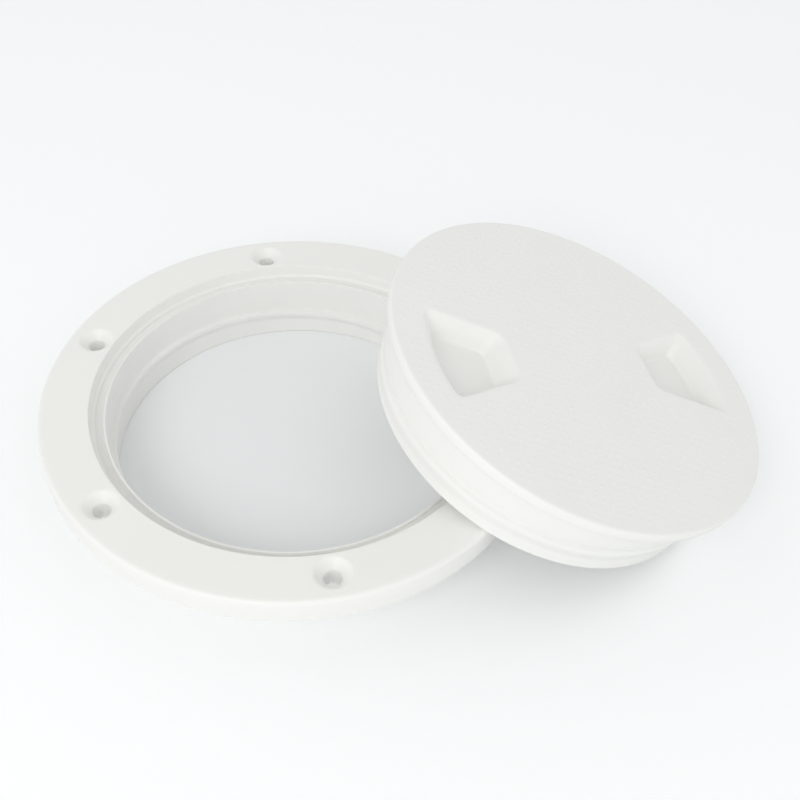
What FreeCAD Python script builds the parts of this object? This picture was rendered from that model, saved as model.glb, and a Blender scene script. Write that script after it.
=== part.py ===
import FreeCAD, Part
import math
import os

os.makedirs("parts", exist_ok=True)

# Frame: the ring's axis is Z, and z = 0 is the deck, under the flange. The viewer of the photograph is at -Y.
# Nominal 4 inch inspection plate. All sizes in mm, angles in degrees.

# ring: flange
flange_width = 13.6
flange_thickness = 8.0
screw_inset = 5.8
screw_count = 6
first_screw_angle = 45.1
screw_hole_radius = 2.3
countersink_radius = 5.0
rim_top_rounding = 1.6
rim_bottom_chamfer = 0.5

# ring: recess for the lid, its ledge and the low bead at the ledge's inner edge
recess_radius = 56.7
recess_depth = 3.7
recess_wall_draft = 0.2
recess_foot_rounding = 0.8
ledge_width = 2.3
bead_width = 0.7
bead_height = 0.3

# ring: collar through the deck
collar_step = 0.2
collar_foot_depth = 23.7
collar_foot_wall = 4.6
collar_foot_chamfer = 0.5

# thread, right hand, shared by ring and lid
thread_lead = 9.0
thread_clearance = 0.35

# ring: thread ridge, its depth is read at the angle thread_read_angle
thread_read_angle = 180.0
ridge_height = 1.4
ridge_crest_width = 1.4
ridge_upper_flank_drop = 0.3
ridge_lower_flank_drop = 3.0
ridge_top_depth = 12.4
ridge_start_angle = 20.0
ridge_turn_angle = 310.0

# lid: disc, lip and plug
lid_fit_clearance = 0.3
lid_height = 24.3
lid_edge_rounding = 0.7
lip_clearance = 0.05
disc_thickness = 4.0
plug_clearance = 0.3
skirt_height = 7.4
plug_wall = 3.0
plug_wall_at_foot = 2.7
plug_foot_rounding = 0.4

# lid: thread groove and ridge, its depth is read at thread_read_angle
lid_groove_mouth_width = 3.7
lid_groove_neck_width = 2.6
lid_groove_floor_rise = 0.03
lid_groove_centre_height = 6.7
lid_groove_turn_angle = 475.0
lid_ridge_height = 1.15
lid_ridge_crest_width = 0.9
lid_ridge_lower_flank_drop = 1.7
lid_ridge_start_angle = 105.0
lid_ridge_turn_angle = 320.0

# lid: the two finger recesses
finger_angle = 18.0
finger_half_angle = 19.5
finger_inner_edge = 22.7
finger_outer_gap = 0.6
finger_depth = 6.0
finger_side_inset = 2.7
finger_inner_inset = 3.9
finger_outer_inset = 4.0
finger_rim_rounding = 2.0
finger_floor_rounding = 1.2
finger_floor_thickness = 2.4
finger_wall_thickness = 2.2

# seal
seal_section_radius = 1.2
seal_squeeze = 0.25
seal_groove_play = 0.15

# how the lid leans on the ring: centre of its top from the flange's rim, and the way it leans towards
lean_reach = 8.5
lean_direction = 1.54
lean_gap = 0.03


def polar(radius, angle, z):
    a = math.radians(angle)
    return FreeCAD.Vector(radius * math.cos(a), radius * math.sin(a), z)


def revolved(points):
    corners = [FreeCAD.Vector(r, 0, z) for r, z in points]
    face = Part.Face(Part.makePolygon(corners + corners[:1]))
    return face.revolve(FreeCAD.Vector(0, 0, 0), FreeCAD.Vector(0, 0, 1), 360)


def arc_points(centre_r, centre_z, radius, start, end, steps):
    points = []
    for i in range(steps + 1):
        a = math.radians(start + (end - start) * i / steps)
        points.append((centre_r + radius * math.cos(a), centre_z + radius * math.sin(a)))
    return points


def swept_thread(section, start_angle, turn_angle, start_z):
    """Sweeps a closed section, given as (radius, height) pairs, up a right-hand helix."""
    rise = thread_lead * turn_angle / 360
    path = Part.makeHelix(thread_lead, rise, section[0][0])
    corners = [FreeCAD.Vector(r, 0, z) for r, z in section]
    wire = Part.makePolygon(corners + corners[:1])
    solid = Part.Wire(path).makePipeShell([wire], True, True)
    solid.translate(FreeCAD.Vector(0, 0, start_z))
    solid.rotate(FreeCAD.Vector(0, 0, 0), FreeCAD.Vector(0, 0, 1), start_angle)
    return Part.Solid(solid) if solid.ShapeType == "Shell" else solid


def ledge_outer_radius():
    return recess_radius - recess_wall_draft - recess_foot_rounding


def bead_outer_radius():
    return ledge_outer_radius() - ledge_width


def collar_outer_radius():
    return recess_radius - collar_step


def collar_inner_radius(depth):
    """Inside radius of the collar, which narrows evenly from the bead to the foot."""
    at_bead = bead_outer_radius() - bead_width
    at_foot = collar_outer_radius() - collar_foot_wall
    share = (depth - recess_depth) / (collar_foot_depth - recess_depth)
    return at_bead + (at_foot - at_bead) * share


def flange_outer_radius():
    return recess_radius + flange_width


def screw_circle_radius():
    return recess_radius + screw_inset


def flange_and_collar():
    top = flange_thickness
    outer = flange_outer_radius()
    ledge = top - recess_depth
    foot = top - collar_foot_depth
    collar_outer = collar_outer_radius()
    bead_outer = bead_outer_radius()
    points = [(recess_radius, top)]
    points += arc_points(outer - rim_top_rounding, top - rim_top_rounding, rim_top_rounding, 90, 0, 4)
    points += [
        (outer, rim_bottom_chamfer),
        (outer - rim_bottom_chamfer, 0),
        (collar_outer, 0),
        (collar_outer, foot + collar_foot_chamfer),
        (collar_outer - collar_foot_chamfer, foot),
        (collar_inner_radius(collar_foot_depth), foot),
        (bead_outer - bead_width, ledge),
        (bead_outer - bead_width * 0.8, ledge + bead_height),
        (bead_outer - bead_width * 0.4, ledge + bead_height),
        (bead_outer, ledge),
    ]
    rounding = recess_foot_rounding
    points += arc_points(ledge_outer_radius(), ledge + rounding, rounding, -90, 0, 3)
    return revolved(points)


def screw_holes():
    sink_depth = countersink_radius - screw_hole_radius
    over = 0.5
    cutters = []
    for i in range(screw_count):
        hole = revolved([
            (0, -over),
            (screw_hole_radius, -over),
            (screw_hole_radius, flange_thickness - sink_depth),
            (countersink_radius + over, flange_thickness + over),
            (0, flange_thickness + over),
        ])
        hole.translate(polar(screw_circle_radius(), first_screw_angle + 360.0 * i / screw_count, 0))
        cutters.append(hole)
    return cutters


def ridge_crest_radius():
    return collar_inner_radius(ridge_top_depth) - ridge_height


def ring_thread_ridge():
    crest = ridge_crest_radius()
    root = crest + ridge_height + 0.6
    crest_top = -ridge_upper_flank_drop
    crest_bottom = crest_top - ridge_crest_width
    section = [
        (root, 0),
        (crest, crest_top),
        (crest, crest_bottom),
        (root, crest_bottom - ridge_lower_flank_drop),
    ]
    start_depth = ridge_top_depth - thread_lead * (ridge_start_angle - thread_read_angle) / 360
    return swept_thread(section, ridge_start_angle, ridge_turn_angle, flange_thickness - start_depth)


def ring():
    body = flange_and_collar()
    for cutter in screw_holes():
        body = body.cut(cutter)
    return body.fuse(ring_thread_ridge()).removeSplitter()


def lid_radius():
    return recess_radius - lid_fit_clearance


def lip_thickness():
    return recess_depth - bead_height - lip_clearance


def plug_radius(depth):
    """Outside radius of the plug above its skirt, which follows the collar's inside."""
    return collar_inner_radius(depth) - plug_clearance


def skirt_radius():
    return ridge_crest_radius() - thread_clearance


def seal_outer_radius():
    return collar_inner_radius(lip_thickness() + seal_section_radius) + seal_squeeze


def seal_groove():
    """Inner radius and the two depths of the groove that the seal sits in."""
    inner = seal_outer_radius() - 2 * seal_section_radius - 0.03
    upper = lip_thickness() + 0.5
    return inner, upper, upper + 2 * (seal_section_radius + seal_groove_play)


def lid_outside():
    edge = lid_edge_rounding
    rounding = recess_foot_rounding
    lip = lip_thickness()
    groove_radius, groove_upper, groove_lower = seal_groove()
    shoulder = lid_height - skirt_height
    skirt = skirt_radius()
    inner_foot = skirt - plug_wall_at_foot
    inner = skirt - plug_wall
    points = [(0, 0)]
    points += arc_points(lid_radius() - edge, -edge, edge, 90, 0, 3)
    points += arc_points(lid_radius() - recess_wall_draft - rounding, rounding - lip, rounding, 0, -90, 3)
    points += [
        (plug_radius(lip), -lip),
        (plug_radius(groove_upper), -groove_upper),
        (groove_radius, -groove_upper),
        (groove_radius, -groove_lower),
        (plug_radius(groove_lower), -groove_lower),
        (plug_radius(shoulder), -shoulder),
        (skirt, -shoulder - 1.0),
    ]
    foot = plug_foot_rounding
    points += arc_points(skirt - foot, foot - lid_height, foot, 0, -90, 2)
    points += [
        (inner_foot + foot, -lid_height),
        (inner_foot, foot - lid_height),
        (inner, -disc_thickness - 1.5),
        (inner - 1.5, -disc_thickness),
        (0, -disc_thickness),
    ]
    return revolved(points)


def lid_groove_centre():
    return lid_groove_centre_height - lid_height


def lid_groove_cutter():
    neck = skirt_radius() + lid_groove_floor_rise
    mouth = plug_radius(0) + 0.6
    slope = (lid_groove_mouth_width - lid_groove_neck_width) / 2 / lid_ridge_height
    half_neck = lid_groove_neck_width / 2
    half_mouth = half_neck + slope * (mouth - neck)
    section = [(neck, -half_neck), (mouth, -half_mouth), (mouth, half_mouth), (neck, half_neck)]
    start = lid_ridge_start_angle - 100
    drop = thread_lead * (start - thread_read_angle) / 360
    return swept_thread(section, start, lid_groove_turn_angle, drop + lid_groove_centre())


def lid_thread_ridge():
    skirt = skirt_radius()
    root = skirt - 0.3
    crest = skirt + lid_ridge_height
    top = -lid_groove_neck_width / 2 - 0.02
    crest_top = -lid_groove_mouth_width / 2 - 0.02
    crest_bottom = crest_top - lid_ridge_crest_width
    section = [
        (root, top),
        (skirt, top),
        (crest, crest_top),
        (crest, crest_bottom),
        (root, crest_bottom - lid_ridge_lower_flank_drop),
    ]
    drop = thread_lead * (lid_ridge_start_angle - thread_read_angle) / 360
    return swept_thread(section, lid_ridge_start_angle, lid_ridge_turn_angle, drop + lid_groove_centre())


def finger_outline(side, chord, reach, rounding, z):
    """Outline of a finger recess round +X: two sides that point at the lid's centre, moved inwards by `side`,
    a straight inner edge at `chord` and an arc of radius `reach`, with rounded corners."""
    beta = math.radians(finger_half_angle)
    shift = side + rounding
    along = math.sqrt((reach - rounding) ** 2 - shift ** 2)
    in_x = chord + rounding
    in_y = in_x * math.tan(beta) - shift / math.cos(beta)
    out_x = along * math.cos(beta) + shift * math.sin(beta)
    out_y = along * math.sin(beta) - shift * math.cos(beta)
    out_angle = math.atan2(out_y, out_x)
    side_normal = math.pi / 2 + beta

    def at(x, y, angle):
        return FreeCAD.Vector(x + rounding * math.cos(angle), y + rounding * math.sin(angle), z)

    def corner(x, y, start, end):
        return Part.Arc(at(x, y, start), at(x, y, (start + end) / 2), at(x, y, end)).toShape()

    low_end = at(out_x, -out_y, -out_angle)
    high_end = at(out_x, out_y, out_angle)
    edges = [
        corner(in_x, -in_y, -math.pi, -side_normal),
        Part.makeLine(at(in_x, -in_y, -side_normal), at(out_x, -out_y, -side_normal)),
        corner(out_x, -out_y, -side_normal, -out_angle),
        Part.Arc(low_end, FreeCAD.Vector(reach, 0, z), high_end).toShape(),
        corner(out_x, out_y, out_angle, side_normal),
        Part.makeLine(at(out_x, out_y, side_normal), at(in_x, in_y, side_normal)),
        corner(in_x, in_y, side_normal, math.pi),
        Part.makeLine(at(in_x, in_y, math.pi), at(in_x, -in_y, -math.pi)),
    ]
    return Part.Wire(edges)


def finger_shape(grow, top, bottom, over):
    """Tapered body of a finger recess, grown all round by `grow`, carried on past its top by `over`."""
    share = over / finger_depth
    side = finger_side_inset
    reach = skirt_radius() - plug_wall - finger_outer_gap
    upper = finger_outline(
        -grow - side * share,
        finger_inner_edge - grow - finger_inner_inset * share,
        reach + grow + finger_outer_inset * share,
        finger_rim_rounding + grow,
        top + over,
    )
    lower = finger_outline(
        side - grow,
        finger_inner_edge + finger_inner_inset - grow,
        reach - finger_outer_inset + grow,
        finger_floor_rounding + grow,
        bottom,
    )
    return Part.makeLoft([upper, lower], True, True)


def finger_recess():
    return finger_shape(0, 0, -finger_depth, 1.0)


def finger_cup():
    return finger_shape(finger_wall_thickness, -disc_thickness / 2, -finger_depth - finger_floor_thickness, 0)


def lid():
    body = lid_outside().cut(lid_groove_cutter()).fuse(lid_thread_ridge())
    axis = FreeCAD.Vector(0, 0, 1)
    origin = FreeCAD.Vector(0, 0, 0)
    for turn in (0, 180):
        cup = finger_cup()
        cup.rotate(origin, axis, finger_angle + turn)
        body = body.fuse(cup)
    for turn in (0, 180):
        pocket = finger_recess()
        pocket.rotate(origin, axis, finger_angle + turn)
        body = body.cut(pocket)
    return body.removeSplitter()


def seal():
    groove_radius, groove_upper, groove_lower = seal_groove()
    centre = seal_outer_radius() - seal_section_radius
    section = arc_points(centre, -(groove_upper + groove_lower) / 2, seal_section_radius, 0, 315, 7)
    return revolved(section)


def flange_distance(radius, z):
    """Distance of a point from the flange's top and rim, negative inside."""
    corner_r = flange_outer_radius() - rim_top_rounding
    corner_z = flange_thickness - rim_top_rounding
    if radius < corner_r:
        return z - flange_thickness
    if z < corner_z:
        return radius - flange_outer_radius()
    return math.hypot(radius - corner_r, z - corner_z) - rim_top_rounding


def lid_foot_profile():
    outer = skirt_radius() - plug_foot_rounding
    inner_foot = skirt_radius() - plug_wall_at_foot
    inner = inner_foot + plug_foot_rounding
    points = arc_points(outer, lid_height - plug_foot_rounding, plug_foot_rounding, 0, 90, 6)
    points += [(inner + (outer - inner) * i / 8, lid_height) for i in range(8)]
    points += [(inner_foot, lid_height - plug_foot_rounding)]
    return points


def lean_distance():
    return flange_outer_radius() + lean_reach


def lean_heights(tilt):
    """Height of the lid's top centre with its lowest point on the table, and its least gap to the flange."""
    t = math.radians(tilt)
    distance = lean_distance()
    table = flange_thickness - collar_foot_depth
    foot = lid_foot_profile()
    drop = max(h * math.cos(t) + r * math.sin(t) for r, h in foot)
    height = table + drop
    least = 1000.0
    for r, h in foot:
        for i in range(721):
            a = math.radians(90 + i / 8)
            x = distance + r * math.cos(a) * math.cos(t) - h * math.sin(t)
            y = r * math.sin(a)
            z = height - r * math.cos(a) * math.sin(t) - h * math.cos(t)
            least = min(least, flange_distance(math.hypot(x, y), z))
    return height, least


def lean_pose():
    """Tilt and height at which the lid rests on the table and, with the small gap, on the flange."""
    low = 5.0
    high = 35.0
    for _ in range(26):
        middle = (low + high) / 2
        if lean_heights(middle)[1] > lean_gap:
            high = middle
        else:
            low = middle
    return high, lean_heights(high)[0]


def leaned(shape, tilt, height):
    origin = FreeCAD.Vector(0, 0, 0)
    shape.rotate(origin, FreeCAD.Vector(0, 1, 0), tilt)
    shape.translate(FreeCAD.Vector(lean_distance(), 0, height))
    shape.rotate(origin, FreeCAD.Vector(0, 0, 1), lean_direction)
    return shape


tilt, height = lean_pose()
print("lid leans %.3f degrees, top centre %.3f mm above the deck" % (tilt, height))
ring().exportStep("parts/ring.step")
leaned(lid(), tilt, height).exportStep("parts/lid.step")
leaned(seal(), tilt, height).exportStep("parts/seal.step")
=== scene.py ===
"""A round deck inspection plate: a flanged ring and its screw-in lid, which leans on the ring."""

import math

import bpy
import numpy as np
from mathutils import Matrix


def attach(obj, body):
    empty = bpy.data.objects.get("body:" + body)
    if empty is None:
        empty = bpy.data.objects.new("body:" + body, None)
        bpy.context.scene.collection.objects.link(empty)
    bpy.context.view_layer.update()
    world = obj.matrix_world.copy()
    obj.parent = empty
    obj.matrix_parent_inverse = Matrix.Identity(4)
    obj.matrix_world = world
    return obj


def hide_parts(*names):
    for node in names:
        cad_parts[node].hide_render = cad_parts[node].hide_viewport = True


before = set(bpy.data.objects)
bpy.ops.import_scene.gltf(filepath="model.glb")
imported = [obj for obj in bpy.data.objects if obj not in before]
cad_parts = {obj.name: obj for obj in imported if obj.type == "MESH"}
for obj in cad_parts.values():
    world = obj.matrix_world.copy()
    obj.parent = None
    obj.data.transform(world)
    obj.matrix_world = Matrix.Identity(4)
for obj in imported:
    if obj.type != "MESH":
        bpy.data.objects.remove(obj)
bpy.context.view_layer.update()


# Ring: the frame that is screwed to the deck, one white plastic moulding.
# Its section is turned round the axis, and the inside of the collar carries one coarse thread ridge.
# Six countersunk holes go through the flange. Sizes are in millimetres, heights are above the deck.
MM = 0.001
TURN_STEPS = 720
FLANGE_TOP = 8.0
FLANGE_RADIUS = 70.3
TOP_FLAT_INNER = 56.95
TOP_FLAT_OUTER = 68.9
UNDER_FLAT_INNER = 56.9
UNDER_FLAT_OUTER = 69.8
RECESS_TOP_RADIUS = 56.8
RECESS_FOOT_RADIUS = 56.2
RECESS_WALL_HEIGHT = 3.2
LEDGE_DEPTH = 3.7
CHANNEL_DEPTH = 4.7
CHANNEL_OUTER = 55.65
CHANNEL_DRAFT = 0.1
BEAD_OUTER = 53.4
BEAD_INNER = 52.7
BEAD_HEIGHT = 0.3
COLLAR_OUTER = 56.5
COLLAR_FOOT = -15.7
FOOT_INNER = 51.9
THREAD_LEAD = 9.0
THREAD_LINE_DEPTH = 12.4
THREAD_LINE_ANGLE = 180.0
RIDGE_CREST = 50.95
RIDGE_START = 20.0
RIDGE_TURN = 310.0
RIDGE_RUN_OUT = 5.0
SCREW_CIRCLE = 62.5
FIRST_SCREW = 45.1
SCREW_COUNT = 6
HOLE_RADIUS = 2.3
HOLE_MIDDLE = 1.0
HOLE_EDGE = 0.5
COUNTERSINK_RADIUS = 4.7
COUNTERSINK_DEPTH = 2.5
COUNTERSINK_BORDER = 5.35
WELDS_PER_MM = 2000
SHARP_DEGREES = 40


class Skin:
    """A mesh that is put together from grids of points, and welded where their borders meet."""

    def __init__(self):
        self.points = []
        self.quads = []
        self.count = 0

    def add(self, grid, close=True, flip=False):
        """Adds a grid of points, rows by columns by 3, or a stack of such grids. With close the last column
        joins the first one."""
        index = self.count + np.arange(grid.size // 3).reshape(grid.shape[:-1])
        if close:
            index = np.concatenate([index, index[..., :1]], -1)
        a, b = index[..., :-1, :-1], index[..., :-1, 1:]
        d, c = index[..., 1:, :-1], index[..., 1:, 1:]
        quads = np.stack([a, d, c, b] if flip else [a, b, c, d], -1).reshape(-1, 4)
        self.points.append(grid.reshape(-1, 3))
        self.quads.append(quads)
        self.count += grid.size // 3

    def object(self, name, sharp_degrees):
        """Makes the Blender object, in metres. Points that round to the same half micron are one point, so a
        quad with two equal neighbours is a triangle, and one with more equal corners is left out."""
        points = np.concatenate(self.points)
        quads = np.concatenate(self.quads)
        keys = np.round(points * WELDS_PER_MM).astype(np.int64)
        _, first, where = np.unique(keys, axis=0, return_index=True, return_inverse=True)
        points = points[first] * MM
        quads = where.reshape(-1)[quads]
        repeats = quads == np.roll(quads, 1, 1)
        crossed = (quads[:, 0] == quads[:, 2]) | (quads[:, 1] == quads[:, 3])
        whole = quads[~repeats.any(1) & ~crossed]
        single = repeats.sum(1) == 1
        triangles = quads[single][~repeats[single]].reshape(-1, 3)
        mesh = bpy.data.meshes.new(name)
        mesh.from_pydata(points.tolist(), [], whole.tolist() + triangles.tolist())
        mesh.validate()
        mesh.shade_smooth()
        mesh.set_sharp_from_angle(angle=math.radians(sharp_degrees))
        made = bpy.data.objects.new(name, mesh)
        bpy.context.scene.collection.objects.link(made)
        return made


def turned(angles, radius, height):
    """Points at that radius and height on every angle: radius and height are rows, or rows by angles."""
    radius = np.broadcast_to(np.reshape(radius, (len(radius), -1)), (len(radius), len(angles)))
    height = np.broadcast_to(np.reshape(height, (len(height), -1)), (len(height), len(angles)))
    return np.stack([radius * np.cos(angles), radius * np.sin(angles), height], -1)


def soft_corner(before, at, after, size, steps):
    """Points of a rounded corner at `at`: a quadratic curve that starts and ends `size` away from it."""
    before, at, after = (np.array(p, float) for p in (before, at, after))
    start = at + (before - at) / np.linalg.norm(before - at) * size
    end = at + (after - at) / np.linalg.norm(after - at) * size
    t = np.linspace(0, 1, steps + 1)[:, None]
    return (1 - t) ** 2 * start + 2 * t * (1 - t) * at + t ** 2 * end


def rounded(points, sizes, steps=4):
    """An open path of (radius, height) points whose corners are rounded by the sizes, one for each."""
    corners = [soft_corner(*points[i:i + 3], size, steps) for i, size in enumerate(sizes)]
    return np.concatenate([[points[0]], *corners, [points[-1]]])


def run_out(angle, start, turn, length):
    """Share of a thread that stands at an angle: 1, with an ease to 0 over `length` degrees at both ends."""
    along = (angle - start) % 360
    rise = np.clip(np.minimum(along, turn - along) / length, 0, 1)
    return rise * rise * (3 - 2 * rise)


def helix_height(angle, start, turn, at_start):
    """Height of a right-hand helix at each angle, which rises by the lead in a turn. Past its end it slants
    back to its start in what is left of the turn."""
    along = (angle - start) % 360
    up = THREAD_LEAD / 360
    back = turn * up * (1 - (along - turn) / (360 - turn))
    return at_start + np.where(along <= turn, along * up, back)


turn_angles = np.arange(TURN_STEPS) * 2 * np.pi / TURN_STEPS
turn_degrees = np.degrees(turn_angles)
SIDE_STEPS = 12
SECTOR_STEPS = TURN_STEPS // SCREW_COUNT // 2
AIM_INNER = 57.0
AIM_OUTER = 70.0


def patch_radii(inner, outer):
    """Radii of the points round a patch: along its inner arc, a side out, its outer arc, and a side in."""
    side = np.linspace(inner, outer, SIDE_STEPS + 1)
    arcs = np.full(SECTOR_STEPS, inner), np.full(SECTOR_STEPS, outer)
    return np.concatenate([arcs[0], side[:-1], arcs[1], side[:0:-1]])[:, None]


def flange_face(skin, inner, outer, height, hole, flip):
    """A flat face of the flange with its screw holes, whose rows are (radius, height). Round each hole lies a
    patch whose rays run from the hole to the patch's border, and plain pieces lie between the patches."""
    across = np.linspace(inner, outer, SIDE_STEPS + 1)
    first = int(round(FIRST_SCREW * TURN_STEPS / 360))
    for k in range(2 * SCREW_COUNT):
        start = first + k * SECTOR_STEPS - SECTOR_STEPS // 2
        arc = turn_angles[(start + np.arange(SECTOR_STEPS + 1)) % TURN_STEPS]
        if k % 2:
            skin.add(turned(arc, across, np.full(len(across), height)), close=False, flip=not flip)
            continue
        sides = np.full(SIDE_STEPS, arc[-1]), np.full(SIDE_STEPS, arc[0])
        angle = np.concatenate([arc[:-1], sides[0], arc[:0:-1], sides[1]])
        way = np.stack([np.cos(angle), np.sin(angle)], -1)
        border = patch_radii(inner, outer) * way
        aim = patch_radii(AIM_INNER, AIM_OUTER) * way
        at = math.radians(FIRST_SCREW + 360 / SCREW_COUNT * k / 2)
        middle = SCREW_CIRCLE * np.array([math.cos(at), math.sin(at)])
        unit = (aim - middle) / np.linalg.norm(aim - middle, axis=1)[:, None]
        rows = [(middle + unit * r, z) for r, z in hole]
        edge = rows[-1][0]
        rows += [(edge + (border - edge) * t, height) for t in (0.25, 0.6)]
        rows.append((border, height))
        grid = np.stack([np.concatenate([row, np.full((len(row), 1), z)], 1) for row, z in rows])
        skin.add(grid, flip=flip)


ring_skin = Skin()
top = FLANGE_TOP
ledge = top - LEDGE_DEPTH
channel = top - CHANNEL_DEPTH
bead = ledge + BEAD_HEIGHT
inside = rounded(
    [(TOP_FLAT_INNER, top), (RECESS_TOP_RADIUS, top), (RECESS_FOOT_RADIUS, top - RECESS_WALL_HEIGHT),
     (CHANNEL_OUTER, ledge + 0.05), (CHANNEL_OUTER - CHANNEL_DRAFT, channel), (BEAD_OUTER, channel),
     (BEAD_OUTER - CHANNEL_DRAFT, bead), (BEAD_INNER, bead), (BEAD_INNER - 0.03, ledge - 0.8)],
    [0.14, 0.5, 0.15, 0.25, 0.2, 0.14, 0.2])

# The ridge's rows are (share of its full height, distance above the thread line).
ridge_rows = rounded(
    [(0, 0.9), (0, -0.1), (1, -0.3), (1, -1.7), (0, -3.8), (0, -4.9)],
    [0.28, 0.25, 0.4, 0.8])
line_at_start = top - THREAD_LINE_DEPTH + THREAD_LEAD * (RIDGE_START - THREAD_LINE_ANGLE) / 360
ridge_top = helix_height(turn_degrees, RIDGE_START, RIDGE_TURN, line_at_start)
ridge_share = run_out(turn_degrees, RIDGE_START, RIDGE_TURN, RIDGE_RUN_OUT)
ridge_heights = ridge_top + ridge_rows[:, 1:]
wall_radius = BEAD_INNER + (FOOT_INNER - BEAD_INNER) * (ledge - ridge_heights) / (ledge - COLLAR_FOOT)
ridge_radius = wall_radius + (RIDGE_CREST - wall_radius) * ridge_rows[:, :1] * ridge_share
foot = rounded(
    [(FOOT_INNER + 0.02, COLLAR_FOOT + 0.6), (FOOT_INNER, COLLAR_FOOT), (COLLAR_OUTER, COLLAR_FOOT),
     (COLLAR_OUTER, 0.0), (UNDER_FLAT_INNER, 0.0)],
    [0.3, 0.5, 0.35])
rim = rounded(
    [(UNDER_FLAT_OUTER, 0.0), (FLANGE_RADIUS, 0.0), (FLANGE_RADIUS, top), (TOP_FLAT_OUTER, top)],
    [0.45, 1.4], 8)
ring_skin.add(np.concatenate([
    turned(turn_angles, inside[:, 0], inside[:, 1]),
    turned(turn_angles, ridge_radius, ridge_heights),
    turned(turn_angles, foot[:, 0], foot[:, 1])]))
ring_skin.add(turned(turn_angles, rim[:, 0], rim[:, 1]))
countersink = rounded(
    [(HOLE_RADIUS, HOLE_MIDDLE), (HOLE_RADIUS, top - COUNTERSINK_DEPTH), (COUNTERSINK_RADIUS, top),
     (COUNTERSINK_BORDER, top)],
    [0.3, 0.6])
under_hole = rounded(
    [(HOLE_RADIUS, HOLE_MIDDLE), (HOLE_RADIUS, 0.0), (HOLE_RADIUS + HOLE_EDGE, 0.0)],
    [0.2])
flange_face(ring_skin, TOP_FLAT_INNER, TOP_FLAT_OUTER, top, countersink, False)
flange_face(ring_skin, UNDER_FLAT_INNER, UNDER_FLAT_OUTER, 0.0, under_hole, True)
ring = ring_skin.object("ring_moulding", SHARP_DEGREES)

# White satin plastic, shared by both mouldings, with a faint unevenness of its colour, gloss and surface.
RING_WHITE = (0.895, 0.893, 0.872, 1)
RING_ROUGHNESS = 0.38
MOULDED_WAVINESS = 0.05
GLOSS_SPREAD = 0.12
PLASTIC_IOR = 1.47


def moulded_surface():
    """Shader group: colour, roughness and normal of moulded plastic, from Object coordinates in metres."""
    group = bpy.data.node_groups.new("moulded_surface", "ShaderNodeTree")
    sockets = (
        ("INPUT", "Color", "Color"), ("INPUT", "Roughness", "Float"), ("INPUT", "Waviness", "Float"),
        ("OUTPUT", "Color", "Color"), ("OUTPUT", "Roughness", "Float"), ("OUTPUT", "Normal", "Vector"))
    for side, name, kind in sockets:
        group.interface.new_socket(name, in_out=side, socket_type="NodeSocket" + kind)
    nodes, links = group.nodes, group.links
    given = nodes.new("NodeGroupInput")
    out = nodes.new("NodeGroupOutput")
    place = nodes.new("ShaderNodeTexCoord")
    cloud = nodes.new("ShaderNodeTexNoise")
    cloud.inputs["Scale"].default_value = 60
    cloud.inputs["Detail"].default_value = 3
    grain = nodes.new("ShaderNodeTexNoise")
    grain.inputs["Scale"].default_value = 900
    grain.inputs["Detail"].default_value = 2
    for texture in (cloud, grain):
        links.new(place.outputs["Object"], texture.inputs["Vector"])
    shade = nodes.new("ShaderNodeMapRange")
    shade.inputs["To Min"].default_value = 0.985
    shade.inputs["To Max"].default_value = 1.015
    links.new(cloud.outputs["Fac"], shade.inputs["Value"])
    tint = nodes.new("ShaderNodeVectorMath")
    tint.operation = "SCALE"
    links.new(given.outputs["Color"], tint.inputs[0])
    links.new(shade.outputs["Result"], tint.inputs["Scale"])
    links.new(tint.outputs["Vector"], out.inputs["Color"])
    gloss = nodes.new("ShaderNodeMath")
    gloss.operation = "MULTIPLY_ADD"
    gloss.inputs[1].default_value = GLOSS_SPREAD
    links.new(grain.outputs["Fac"], gloss.inputs[0])
    links.new(given.outputs["Roughness"], gloss.inputs[2])
    links.new(gloss.outputs["Value"], out.inputs["Roughness"])
    bump = nodes.new("ShaderNodeBump")
    bump.inputs["Distance"].default_value = 0.0002
    links.new(given.outputs["Waviness"], bump.inputs["Strength"])
    links.new(grain.outputs["Fac"], bump.inputs["Height"])
    links.new(bump.outputs["Normal"], out.inputs["Normal"])
    return group


surface_group = moulded_surface()


def plastic(name, colour, roughness, waviness):
    """A plastic material of that colour, with the moulded surface on it."""
    material = bpy.data.materials.new(name)
    material.use_nodes = True
    nodes, links = material.node_tree.nodes, material.node_tree.links
    shader = nodes["Principled BSDF"]
    shader.inputs["IOR"].default_value = PLASTIC_IOR
    surface = nodes.new("ShaderNodeGroup")
    surface.node_tree = surface_group
    surface.inputs["Color"].default_value = colour
    surface.inputs["Roughness"].default_value = roughness
    surface.inputs["Waviness"].default_value = waviness
    links.new(surface.outputs["Color"], shader.inputs["Base Color"])
    links.new(surface.outputs["Roughness"], shader.inputs["Roughness"])
    links.new(surface.outputs["Normal"], shader.inputs["Normal"])
    return material


ring.data.materials.append(plastic("ring_white_plastic", RING_WHITE, RING_ROUGHNESS, MOULDED_WAVINESS))
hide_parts("ring")
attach(ring, "root")


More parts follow.
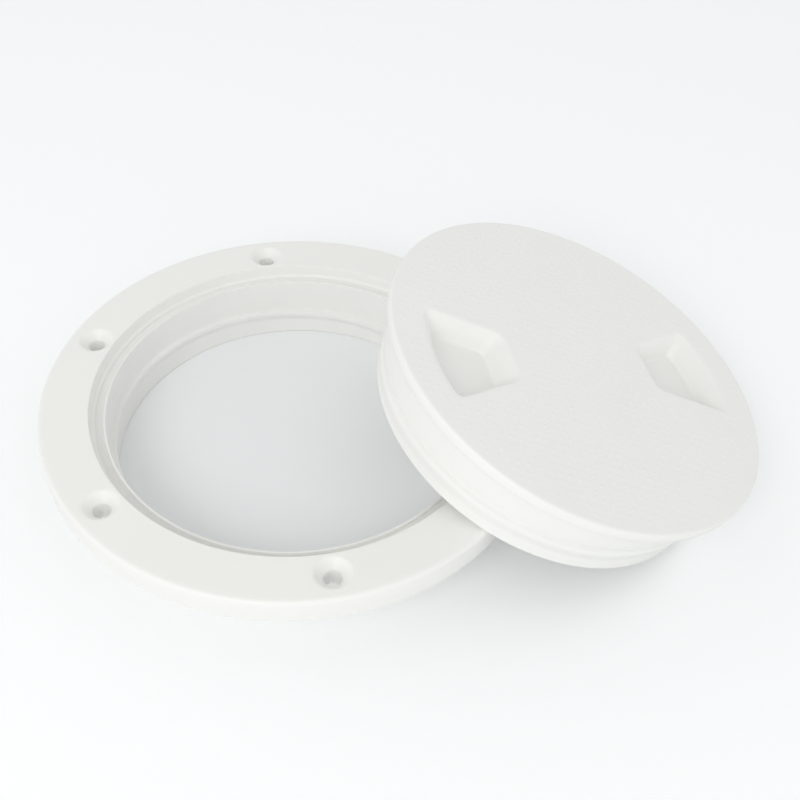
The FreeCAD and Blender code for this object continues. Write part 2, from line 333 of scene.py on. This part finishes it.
# Lid: the screw-in plate, one white plastic moulding that leans on the ring. Its disc has two finger recesses
# and a fine non-slip top, and its plug below the lip is hollow, with a thread groove and a ridge under it.
# It is made in its own frame, whose origin is the middle of its top, and then leaned.
LID_TILT = 20.072
LID_TOP_HEIGHT = 24.376
LID_DISTANCE = 78.8
LID_DIRECTION = 1.54
LID_WHITE = (0.885, 0.885, 0.865, 1)
LID_ROUGHNESS = 0.42
LID_FLAT = 55.4
LID_RADIUS = 56.4
LID_FOOT = 24.3
LIP = 3.35
LIP_DRAFT = 0.2
PLUG_UPPER = 52.29
PLUG_LOWER = 51.87
SHOULDER = 16.9
SHOULDER_FALL = 1.0
SHOULDER_MARGIN = 0.3
SKIRT = 50.6
SKIRT_END = 23.6
HOLLOW = 47.6
CEILING = 4.0
CEILING_FLAT = 44.6
SEAL_FLOOR = 50.49
SEAL_TOP = 3.85
SEAL_BOTTOM = 6.55
PLUG_WALL_START = 7.5
GROOVE_UPPER = 15.65
GROOVE_FLOOR = 50.2
THREAD_CREST = 51.5
LID_RIDGE_START = 105.0
LID_RIDGE_TURN = 320.0
LID_RUN_OUT = 6.0
FINGER_ANGLE = 18.0
FINGER_HALF_ANGLE = 19.5
FINGER_MIDDLE = np.array([35.5, 0.0])
FINGER_TURNS = (FINGER_ANGLE, FINGER_ANGLE + 180)
RECESS_DEPTH = 6.5
BOSS_DEPTH = 8.4
CORNER_POINTS = 24
ARC_POINTS = 120
DIAMETER_STEPS = 120
RAY_SPLITS = 8


def outline(side, chord, arc_radius, inner_corner, outer_corner):
    """Closed outline of a finger recess round +X, anticlockwise: two sides that point at the lid's centre and
    are moved in by `side`, a straight inner edge at `chord` and an arc of arc_radius, with round corners."""
    beta = math.radians(FINGER_HALF_ANGLE)
    inner_x = chord + inner_corner
    upper_in = np.array([inner_x, inner_x * math.tan(beta) - (side + inner_corner) / math.cos(beta)])
    shift = side + outer_corner
    along = math.sqrt((arc_radius - outer_corner) ** 2 - shift ** 2)
    upper_out = np.array([
        along * math.cos(beta) + shift * math.sin(beta),
        along * math.sin(beta) - shift * math.cos(beta)])
    lower_in, lower_out = upper_in * (1, -1), upper_out * (1, -1)
    out_angle = math.atan2(upper_out[1], upper_out[0])
    square = math.pi / 2 + beta

    def arc(centre, radius, start, end, count):
        a = np.linspace(start, end, count)
        return centre + radius * np.stack([np.cos(a), np.sin(a)], -1)

    return np.concatenate([
        arc(lower_in, inner_corner, -math.pi, -square, CORNER_POINTS),
        arc(lower_out, outer_corner, -square, -out_angle, CORNER_POINTS),
        arc((0, 0), arc_radius, -out_angle, out_angle, ARC_POINTS),
        arc(upper_out, outer_corner, out_angle, square, CORNER_POINTS),
        arc(upper_in, inner_corner, square, math.pi, CORNER_POINTS)])


def on_rays(shape, directions):
    """Where rays from the finger recess's middle in those directions cross a closed outline round it. The
    outline is split finely, and its distance is read off by direction."""
    closed = np.concatenate([shape, shape[:1]])
    steps = np.arange(RAY_SPLITS) / RAY_SPLITS
    fine = (closed[:-1, None] + (closed[1:] - closed[:-1])[:, None] * steps[:, None]).reshape(-1, 2)
    offset = fine - FINGER_MIDDLE
    angle = np.arctan2(offset[:, 1], offset[:, 0])
    reach = np.linalg.norm(offset, axis=1)
    order = np.argsort(angle)
    radius = np.interp(directions, angle[order], reach[order], period=2 * np.pi)
    return FINGER_MIDDLE + radius[:, None] * np.stack([np.cos(directions), np.sin(directions)], -1)


def half_disc(skin, radius, height, rim, floor, wall, turn, flip):
    """Half of a flat disc with a recess or a boss in it: from the half's border in to the outline `rim`, down
    the wall, whose rows are (share of the way from rim to floor outline, height), and over the floor to its
    middle."""
    a = np.linspace(-np.pi / 2, np.pi / 2, TURN_STEPS // 2 + 1)
    straight = np.linspace(radius, -radius, DIAMETER_STEPS + 1)[1:-1]
    border = np.concatenate([
        radius * np.stack([np.cos(a), np.sin(a)], -1),
        np.stack([0 * straight, straight], -1)])
    ray = border - FINGER_MIDDLE
    directions = np.arctan2(ray[:, 1], ray[:, 0])
    rim_points = on_rays(rim, directions)
    inwards = on_rays(floor, directions) - rim_points
    first = rim_points + inwards * wall[0][0]
    last = rim_points + inwards * wall[-1][0]
    rows = [(border + (first - border) * t, height) for t in (0, 0.25, 0.5, 0.75)]
    rows += [(rim_points + inwards * share, z) for share, z in wall]
    rows += [(last + (FINGER_MIDDLE - last) * t, wall[-1][1]) for t in (0.4, 0.8, 1)]
    c, s = math.cos(math.radians(turn)), math.sin(math.radians(turn))
    grid = np.stack([
        np.stack([p[:, 0] * c - p[:, 1] * s, p[:, 0] * s + p[:, 1] * c, np.full(len(p), float(z))], -1)
        for p, z in rows])
    skin.add(grid, flip=flip)


def leaned(points):
    """Puts lid points from the lid's own frame, top centre at the origin, to where the lid leans."""
    t, d = math.radians(LID_TILT), math.radians(LID_DIRECTION)
    tilt = np.array([[math.cos(t), 0, math.sin(t)], [0, 1, 0], [-math.sin(t), 0, math.cos(t)]])
    swing = np.array([[math.cos(d), -math.sin(d), 0], [math.sin(d), math.cos(d), 0], [0, 0, 1]])
    return (points @ tilt.T + (LID_DISTANCE, 0, LID_TOP_HEIGHT)) @ swing.T


PIP_PITCH = 2.8
PIP_REACH = 53.6
PIP_MARGIN = 1.3
PIP_SIDES = 6
PIP_RADIUS = np.array([0.0, 0.8, 0.5, 0.0])
PIP_HEIGHT = np.array([-0.04, -0.04, 0.08, 0.12])


def pips():
    """The non-slip top: small closed domes on a lattice of triangles, at x = (i + j / 2) pitch and
    y = j pitch sqrt(3) / 2, as a stack of grids. None stands past the reach or near a finger recess."""
    most = int(2 * PIP_REACH / PIP_PITCH)
    steps = np.arange(-most, most + 1)
    i, j = np.meshgrid(steps, steps)
    at = np.stack([(i + j / 2).ravel(), j.ravel() * math.sqrt(3) / 2], -1) * PIP_PITCH
    at = at[np.linalg.norm(at, axis=1) < PIP_REACH]
    for turn in FINGER_TURNS:
        c, s = math.cos(math.radians(turn)), math.sin(math.radians(turn))
        away = at @ np.array([[c, -s], [s, c]]) - FINGER_MIDDLE
        edge = on_rays(recess_rim, np.arctan2(away[:, 1], away[:, 0])) - FINGER_MIDDLE
        at = at[np.linalg.norm(away, axis=1) > np.linalg.norm(edge, axis=1) + PIP_MARGIN]
    dome = turned(np.arange(PIP_SIDES) * 2 * np.pi / PIP_SIDES, PIP_RADIUS, PIP_HEIGHT)
    middle = np.concatenate([at, np.zeros((len(at), 1))], 1)
    return dome + middle[:, None, None]


def plug_radius(depth):
    """Radius of the plug without its thread: an even taper, then the shoulder, then the skirt."""
    taper = PLUG_UPPER + (PLUG_LOWER - PLUG_UPPER) * (depth - SEAL_BOTTOM) / (SHOULDER - SEAL_BOTTOM)
    step = np.clip((depth - SHOULDER) / SHOULDER_FALL, 0, 1)
    return taper + (SKIRT - taper) * step


lid_skin = Skin()
upper_side = rounded(
    [(LID_FLAT, 0), (LID_RADIUS, 0), (LID_RADIUS - LIP_DRAFT, -LIP), (PLUG_UPPER, -LIP),
     (PLUG_UPPER, -SEAL_TOP), (SEAL_FLOOR, -SEAL_TOP), (SEAL_FLOOR, -SEAL_BOTTOM),
     (PLUG_UPPER, -SEAL_BOTTOM), (PLUG_UPPER - 0.02, -PLUG_WALL_START)],
    [0.95, 0.6, 0.2, 0.1, 0.2, 0.2, 0.15], 3)

# The thread's rows are (where they lie, distance below the groove's upper edge): 0 is the plug's plain wall,
# 1 the groove's floor, 2 the ridge's crest, 3 the skirt. Rows that follow the shoulder are sorted in between.
thread_rows = rounded(
    [(0, -0.9), (0, 0), (1, 0.1), (1, 1.9), (2, 2.7), (2, 4.0), (3, 6.9), (3, 7.5)],
    [0.12, 0.1, 0.3, 0.3, 0.5, 0.5], 3)
climb = helix_height(turn_degrees, LID_RIDGE_START, LID_RIDGE_TURN, THREAD_LEAD * LID_RIDGE_START / 360)
groove_depth = GROOVE_UPPER + THREAD_LEAD / 2 - climb
groove_share = run_out(turn_degrees, LID_RIDGE_START, LID_RIDGE_TURN, LID_RUN_OUT)
shoulder_end = SHOULDER + SHOULDER_FALL
shoulder_rows = [[SHOULDER - SHOULDER_MARGIN], [SHOULDER], [shoulder_end], [shoulder_end + SHOULDER_MARGIN]]
row_depths = np.concatenate([groove_depth + thread_rows[:, 1:], shoulder_rows + 0 * groove_depth])
row_depths = np.minimum(np.sort(row_depths, 0), SKIRT_END)
row_kind = np.interp(row_depths - groove_depth, thread_rows[:, 1], thread_rows[:, 0])
plain = plug_radius(row_depths)
into_groove = plain + (GROOVE_FLOOR - plain) * np.minimum(row_kind, 1)
below_groove = np.interp(row_kind, [1, 2, 3], [GROOVE_FLOOR, THREAD_CREST, SKIRT])
threaded = np.where(row_kind > 1, below_groove, into_groove)
row_radius = plain + (threaded - plain) * groove_share
foot_rows = rounded(
    [(SKIRT, -LID_FOOT + 0.6), (SKIRT, -LID_FOOT), (HOLLOW + 0.3, -LID_FOOT), (HOLLOW, -CEILING),
     (CEILING_FLAT, -CEILING)],
    [0.55, 0.4, 1.5])
lid_skin.add(np.concatenate([
    turned(turn_angles, upper_side[:, 0], upper_side[:, 1]),
    turned(turn_angles, row_radius, -row_depths),
    turned(turn_angles, foot_rows[:, 0], foot_rows[:, 1])]), flip=True)

recess_rim = outline(side=0.0, chord=22.7, arc_radius=47.0, inner_corner=4.2, outer_corner=2.2)
recess_floor = outline(side=2.7, chord=26.6, arc_radius=43.0, inner_corner=3.0, outer_corner=1.4)
recess_wall = rounded(
    [(-0.3, 0), (0, 0), (0.7, -2.6), (1, -RECESS_DEPTH), (1.6, -RECESS_DEPTH)],
    [0.3, 1.3, 0.4], 5)
boss_rim = outline(side=-2.4, chord=20.3, arc_radius=45.6, inner_corner=2.0, outer_corner=2.0)
boss_floor = outline(side=0.3, chord=24.4, arc_radius=45.0, inner_corner=1.2, outer_corner=1.2)
boss_wall = [(0.0, -CEILING), (1.0, -BOSS_DEPTH)]
for turn in FINGER_TURNS:
    half_disc(lid_skin, LID_FLAT, 0.0, recess_rim, recess_floor, recess_wall, turn, False)
    half_disc(lid_skin, CEILING_FLAT, -CEILING, boss_rim, boss_floor, boss_wall, turn, True)
lid_skin.add(pips())
lid_skin.points = [leaned(p) for p in lid_skin.points]
lid = lid_skin.object("lid_moulding", SHARP_DEGREES)
lid.data.materials.append(plastic("lid_white_plastic", LID_WHITE, LID_ROUGHNESS, MOULDED_WAVINESS))
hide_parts("lid")
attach(lid, "root")


# Seal: a round-section rubber ring, black and matt. It is stretched into the groove of the lid's plug, just
# under the lip, and keeps water out when the lid is screwed in.
SEAL_SECTION = 1.2
SEAL_MIDDLE = 51.72
SEAL_DEPTH = 5.2
SECTION_STEPS = 16
SEAL_BLACK = (0.03, 0.03, 0.03, 1)
SEAL_ROUGHNESS = 0.6
SEAL_WAVINESS = 0.1
section_angle = np.arange(SECTION_STEPS) * 2 * np.pi / SECTION_STEPS
section_radius = SEAL_MIDDLE + SEAL_SECTION * np.cos(section_angle)
section_height = -SEAL_DEPTH + SEAL_SECTION * np.sin(section_angle)
seal_grid = turned(turn_angles[::3], section_radius, section_height)
seal_skin = Skin()
seal_skin.add(leaned(np.concatenate([seal_grid, seal_grid[:1]])))
seal = seal_skin.object("seal_ring", sharp_degrees=80)
seal.data.materials.append(plastic("seal_black_rubber", SEAL_BLACK, SEAL_ROUGHNESS, SEAL_WAVINESS))
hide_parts("seal")
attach(seal, "root")


# Floor: a white sheet that the part stands on. The camera sees it lifted to white outside the ring, and the
# part's
# soft shadow stays on it. Inside the collar it is not lifted, so the floor seen through the ring stays darker
# there:
# painted shade.
FLOOR_GAP = 0.05
FLOOR_HALF = 3.0
FLOOR_WHITE = (0.93, 0.945, 0.96, 1)
PAINTED_SHADE_RADIUS = 54.0
WHITE_LIFT = 0.11
floor_height = (COLLAR_FOOT - FLOOR_GAP) * MM
floor_mesh = bpy.data.meshes.new("white_floor")
corners = [(x * FLOOR_HALF, y * FLOOR_HALF, floor_height) for x, y in ((-1, -1), (1, -1), (1, 1), (-1, 1))]
floor_mesh.from_pydata(corners, [], [(0, 1, 2, 3)])
floor = bpy.data.objects.new("white_floor", floor_mesh)
bpy.context.scene.collection.objects.link(floor)
paper = bpy.data.materials.new("white_paper")
paper.use_nodes = True
nodes, links = paper.node_tree.nodes, paper.node_tree.links
sheet = nodes["Principled BSDF"]
sheet.inputs["Base Color"].default_value = FLOOR_WHITE
sheet.inputs["Roughness"].default_value = 0.9
sheet.inputs["Specular IOR Level"].default_value = 0.0
seen = nodes.new("ShaderNodeLightPath")
spot = nodes.new("ShaderNodeTexCoord")
far_off = nodes.new("ShaderNodeVectorMath")
far_off.operation = "DISTANCE"
far_off.inputs[1].default_value = (0, 0, floor_height)
links.new(spot.outputs["Object"], far_off.inputs[0])
# Painted shade: the lift to white is only given past this radius, so the floor inside the collar stays
# darker.
outside = nodes.new("ShaderNodeMath")
outside.operation = "GREATER_THAN"
outside.inputs[1].default_value = PAINTED_SHADE_RADIUS * MM
links.new(far_off.outputs["Value"], outside.inputs[0])
share = nodes.new("ShaderNodeMath")
share.operation = "MULTIPLY"
share.inputs[1].default_value = WHITE_LIFT
links.new(outside.outputs["Value"], share.inputs[0])
glow = nodes.new("ShaderNodeMath")
glow.operation = "MULTIPLY"
links.new(share.outputs["Value"], glow.inputs[0])
links.new(seen.outputs["Is Camera Ray"], glow.inputs[1])
sheet.inputs["Emission Color"].default_value = (1, 1, 1, 1)
links.new(glow.outputs["Value"], sheet.inputs["Emission Strength"])
floor_mesh.materials.append(paper)


# Light: a wide soft lamp at the front left, and an even pale surround that is brighter at the horizon than
# overhead. The camera, gloss and clear things see plain white instead of the surround.
SURROUND = (0.985, 0.99, 0.985, 1)
HORIZON_STRENGTH = 1.16
OVERHEAD_STRENGTH = 0.58
world = bpy.data.worlds.new("pale_room")
bpy.context.scene.world = world
world.use_nodes = True
nodes, links = world.node_tree.nodes, world.node_tree.links
room = nodes["Background"]
room.inputs["Color"].default_value = SURROUND
look = nodes.new("ShaderNodeTexCoord")
height = nodes.new("ShaderNodeSeparateXYZ")
links.new(look.outputs["Generated"], height.inputs["Vector"])
steep = nodes.new("ShaderNodeMath")
steep.operation = "ABSOLUTE"
links.new(height.outputs["Z"], steep.inputs[0])
sky = nodes.new("ShaderNodeMapRange")
sky.inputs["To Min"].default_value = HORIZON_STRENGTH
sky.inputs["To Max"].default_value = OVERHEAD_STRENGTH
links.new(steep.outputs["Value"], sky.inputs["Value"])
links.new(sky.outputs["Result"], room.inputs["Strength"])
white = nodes.new("ShaderNodeBackground")
white.inputs["Color"].default_value = (1, 1, 1, 1)
white.inputs["Strength"].default_value = 1.0
way = nodes.new("ShaderNodeLightPath")
seen_rays = nodes.new("ShaderNodeMath")
seen_rays.operation = "MAXIMUM"
links.new(way.outputs["Is Camera Ray"], seen_rays.inputs[0])
links.new(way.outputs["Is Glossy Ray"], seen_rays.inputs[1])
through = nodes.new("ShaderNodeMath")
through.operation = "MAXIMUM"
links.new(seen_rays.outputs["Value"], through.inputs[0])
links.new(way.outputs["Is Transmission Ray"], through.inputs[1])
pick = nodes.new("ShaderNodeMixShader")
links.new(through.outputs["Value"], pick.inputs["Fac"])
links.new(room.outputs["Background"], pick.inputs[1])
links.new(white.outputs["Background"], pick.inputs[2])
links.new(pick.outputs["Shader"], nodes["World Output"].inputs["Surface"])
LAMP_SHIFT = (0.03, 0, 0)


def lamp(name, azimuth, elevation, distance, size, watts, colour):
    """A square soft lamp that looks at the ring's middle from that direction, shifted a little towards the
    lid. Azimuth 0 is +X, and 270 the viewer's side."""
    data = bpy.data.lights.new(name, "AREA")
    data.shape = "SQUARE"
    data.size = size
    data.energy = watts
    data.color = colour
    made = bpy.data.objects.new(name, data)
    a, e = math.radians(azimuth), math.radians(elevation)
    towards = np.array([math.cos(a) * math.cos(e), math.sin(a) * math.cos(e), math.sin(e)])
    made.location = towards * distance + LAMP_SHIFT
    made.rotation_mode = "QUATERNION"
    made.rotation_quaternion = made.location.to_track_quat("Z", "Y")
    bpy.context.scene.collection.objects.link(made)


lamp("key_lamp", azimuth=250, elevation=42, distance=1.0, size=0.45, watts=2.3, colour=(1.0, 0.99, 0.97))


# Camera: stands where the photograph was taken from, with the same tilt and framing. Its distance and its
# shift are in radii of the screw circle, from the middle of the flange's top.
CAMERA_DISTANCE = 4.6688
CAMERA_ELEVATION = 45.7495
CAMERA_ROLL = 3.589
CAMERA_ASIDE = (-0.4763, 0.0388)
FOCAL_PIXELS = 1031.8
PICTURE_PIXELS = 800
SENSOR = 36.0
camera_data = bpy.data.cameras.new("camera")
camera_data.sensor_width = SENSOR
camera_data.lens = FOCAL_PIXELS / PICTURE_PIXELS * SENSOR
camera_data.clip_start = 0.01
camera = bpy.data.objects.new("camera", camera_data)
elevation, roll = math.radians(CAMERA_ELEVATION), math.radians(CAMERA_ROLL)
forward = np.array([0, math.cos(elevation), -math.sin(elevation)])
right = np.array([1.0, 0, 0])
up = np.cross(right, forward)
rolled_right = math.cos(roll) * right + math.sin(roll) * up
rolled_up = -math.sin(roll) * right + math.cos(roll) * up
towards = CAMERA_ASIDE[0] * rolled_right + CAMERA_ASIDE[1] * rolled_up + CAMERA_DISTANCE * forward
place = -towards * SCREW_CIRCLE * MM + (0, 0, FLANGE_TOP * MM)
camera.matrix_world = Matrix([
    [rolled_right[0], rolled_up[0], -forward[0], place[0]],
    [rolled_right[1], rolled_up[1], -forward[1], place[1]],
    [rolled_right[2], rolled_up[2], -forward[2], place[2]],
    [0, 0, 0, 1]])
bpy.context.scene.collection.objects.link(camera)
bpy.context.scene.camera = camera
bpy.context.scene.view_settings.view_transform = "Standard"
